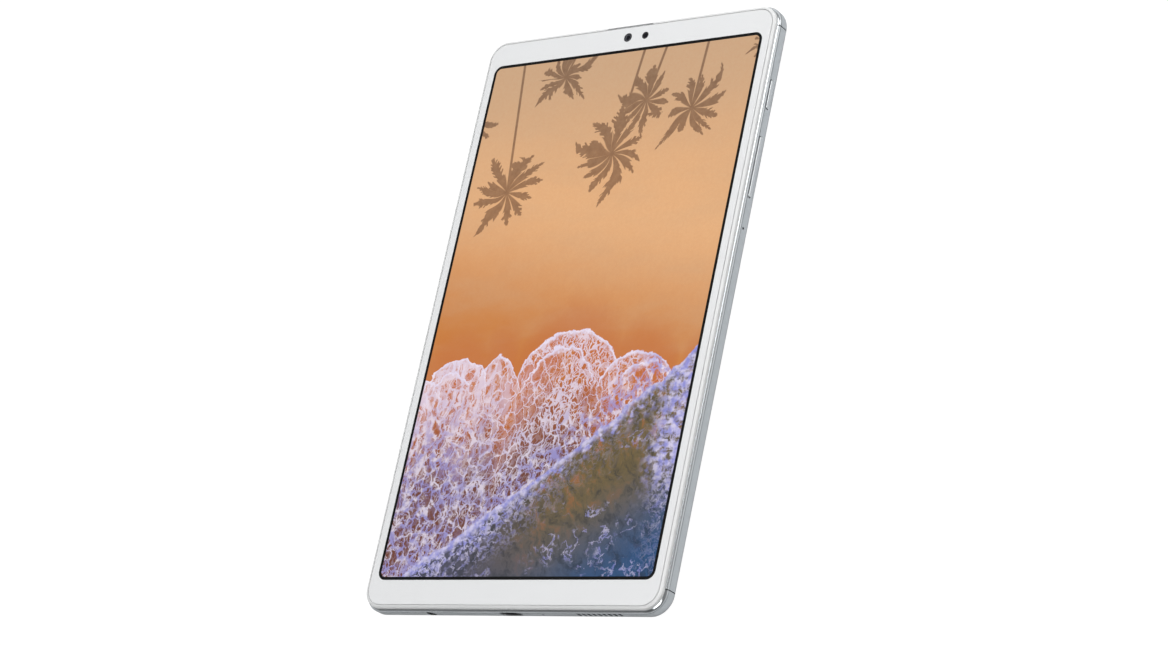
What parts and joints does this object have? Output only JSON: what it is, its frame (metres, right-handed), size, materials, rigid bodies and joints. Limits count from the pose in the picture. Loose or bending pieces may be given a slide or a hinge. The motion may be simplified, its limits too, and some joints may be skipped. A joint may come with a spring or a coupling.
{
  "type": "tablet computer",
  "caption": "Slim slate tablet computer: white-bordered touch screen in a silver metal shell, with side keys, bottom ports and a slide-out card tray.",
  "frame": {"origin": "centre of the flat back, so the tablet lies on z = 0 with its screen up", "axes": "+Z out of the screen, +Y towards the top edge with the front camera, +X towards the side with the keys"},
  "size_m": [0.1251, 0.2126, 0.008],
  "materials": {
    "shell_metal": "satin, fine blasted and anodised silver",
    "key_metal": "satin silver with bright polished edges",
    "cap_paint": "metallic silver paint over moulded plastic, satin",
    "tray_metal": "satin silver",
    "white_frame": "white moulded plastic, semi-gloss",
    "cover_glass": "clear polished cover glass, white and black print beneath",
    "screen_panel": "black when off, lit picture when on",
    "optical_sheet": "milky white optical film",
    "steel": "thin rolled steel",
    "cast_frame": "dull grey cast light metal",
    "flex_film": "amber polyimide film",
    "circuit_board": "green solder mask",
    "chip_resin": "matt black moulding resin",
    "battery_pouch": "soft foil pouch, dull silver grey",
    "dark_plastic": "matt black moulded plastic",
    "lens_black": "black glass with a violet lens coating",
    "woven_mesh": "fine woven wire",
    "gasket_rubber": "matt dark silicone",
    "adhesive": "black double-sided tape"
  },
  "bodies": {
    "tablet_body": {"rear_shell": "shell_metal", "camera_trim_ring": "shell_metal", "top_end_cap": "cap_paint", "bottom_end_cap": "cap_paint", "front_frame": "white_frame", "cover_glass": "cover_glass", "display_panel": "screen_panel", "diffuser_film": "optical_sheet", "light_guide": "optical_sheet", "led_strip": "optical_sheet", "backlight_pan": "steel", "processor_shield": "steel", "power_shield": "steel", "radio_shield": "steel", "board_screw_1": "steel", "board_screw_2": "steel", "board_screw_3": "steel", "board_screw_4": "steel", "usb_c_shell": "steel", "bottom_microphone": "steel", "side_microphone": "steel", "key_bracket": "steel", "power_switch": "steel", "volume_up_switch": "steel", "volume_down_switch": "steel", "card_reader": "steel", "mid_plate": "cast_frame", "display_flex": "flex_film", "battery_lead": "flex_film", "main_flex": "flex_film", "battery_circuit": "circuit_board", "main_board": "circuit_board", "sub_board": "circuit_board", "processor_chip": "chip_resin", "memory_chip": "chip_resin", "power_chip": "chip_resin", "light_sensor": "chip_resin", "battery_pack": "battery_pouch", "wifi_antenna": "dark_plastic", "usb_c_tongue": "dark_plastic", "headphone_jack": "dark_plastic", "bottom_speaker": "dark_plastic", "top_speaker": "dark_plastic", "earpiece": "dark_plastic", "rear_camera_body": "dark_plastic", "front_camera": "lens_black", "camera_window": "lens_black", "bottom_speaker_mesh": "woven_mesh", "top_speaker_mesh": "woven_mesh", "earpiece_mesh": "woven_mesh", "glass_tape": "adhesive"},
    "power_key": {"power_key": "key_metal"},
    "volume_key": {"volume_key": "key_metal"},
    "card_tray": {"card_tray": "tray_metal", "tray_gasket": "gasket_rubber"},
    "eject_rod": {"eject_rod": "steel"},
    "eject_lever": {"eject_lever": "steel"},
    "lens_carrier": {"rear_camera_barrel": "lens_black"}
  },
  "joints": [
    {"name": "power_key_press", "type": "slide", "parent": "tablet_body", "child": "power_key", "axis": [-1, 0, 0], "range_m": [0, 0.00025], "stiffness_N_per_m": 4000},
    {"name": "volume_key_rock", "type": "hinge", "parent": "tablet_body", "child": "volume_key", "pos_m": [0.0606, 0.0473, 0.00402], "axis": [0, 0, 1], "range_deg": [-1.2, 1.2], "stiffness_Nm_per_rad": 0.5},
    {"name": "card_tray_slide", "type": "slide", "parent": "tablet_body", "child": "card_tray", "axis": [-1, 0, 0], "range_m": [0, 0.022]},
    {"name": "eject_rod_slide", "type": "slide", "parent": "tablet_body", "child": "eject_rod", "axis": [1, 0, 0], "range_m": [0, 0.0009]},
    {"name": "eject_lever_turn", "type": "hinge", "parent": "tablet_body", "child": "eject_lever", "pos_m": [-0.0351, 0.0705, 0.00365], "axis": [0, 0, -1], "range_deg": [0, 16]},
    {"name": "lens_focus_slide", "type": "slide", "parent": "tablet_body", "child": "lens_carrier", "axis": [0, 0, -1], "range_m": [0, 0.0003], "stiffness_N_per_m": 200}
  ],
  "couplings": [
    {"joint": "eject_lever_turn", "follows": "eject_rod_slide", "rad_per_m": 303.03}
  ]
}
